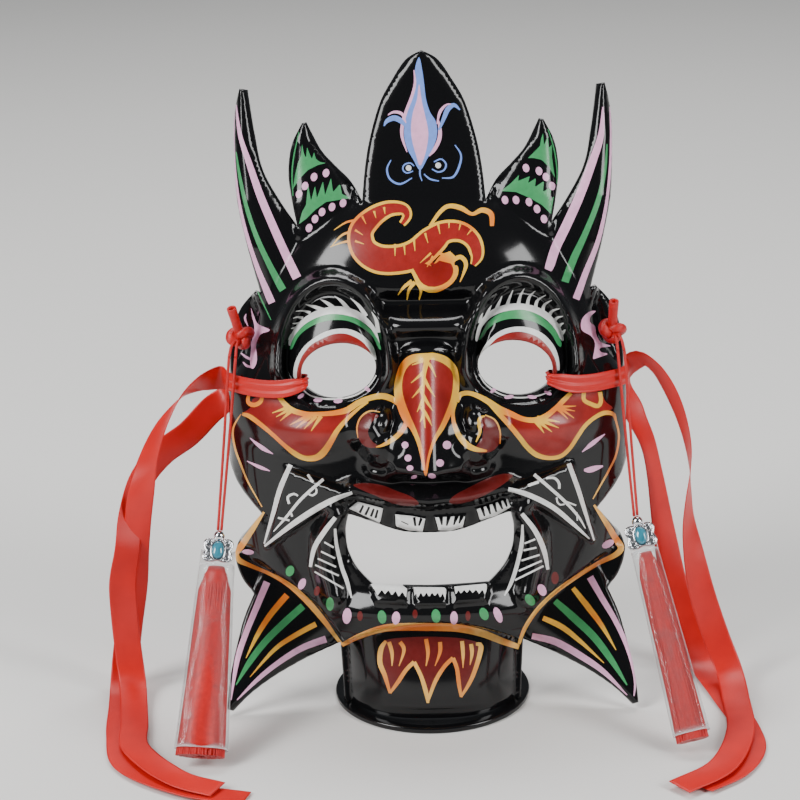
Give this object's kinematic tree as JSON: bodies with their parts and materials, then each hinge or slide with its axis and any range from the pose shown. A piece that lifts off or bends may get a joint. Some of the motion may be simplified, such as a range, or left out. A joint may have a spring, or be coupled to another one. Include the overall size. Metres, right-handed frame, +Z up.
{
  "type": "tribal mask",
  "caption": "Black-glazed demon mask with crown, horns and open mouth, painted with scrolls, standing on a round disc, with red tie ribbons and tassels.",
  "frame": {"origin": "middle of the stand's underside", "axes": "+Z up, the face looks towards -Y, +X to the viewer's right"},
  "size_m": [0.333, 0.1942, 0.3256],
  "materials": {
    "lacquer": "high-gloss black glaze with painted ornament",
    "satin": "red satin",
    "thread": "red silky thread",
    "silver": "bright silver plate",
    "enamel": "blue-green enamel",
    "clear_film": "clear thin film"
  },
  "bodies": {
    "root": {"mask": "lacquer", "stand": "lacquer", "ribbon_left": "satin", "ribbon_right": "satin", "knot_left": "satin", "tassel_cord_left_inner": "thread", "tassel_cord_left_outer": "thread", "charm_left": "silver", "stone_left": "enamel", "tassel_left": "thread", "sleeve_left": "clear_film", "knot_right": "satin", "tassel_cord_right_inner": "thread", "tassel_cord_right_outer": "thread", "charm_right": "silver", "stone_right": "enamel", "tassel_right": "thread", "sleeve_right": "clear_film"}
  },
  "joints": []
}
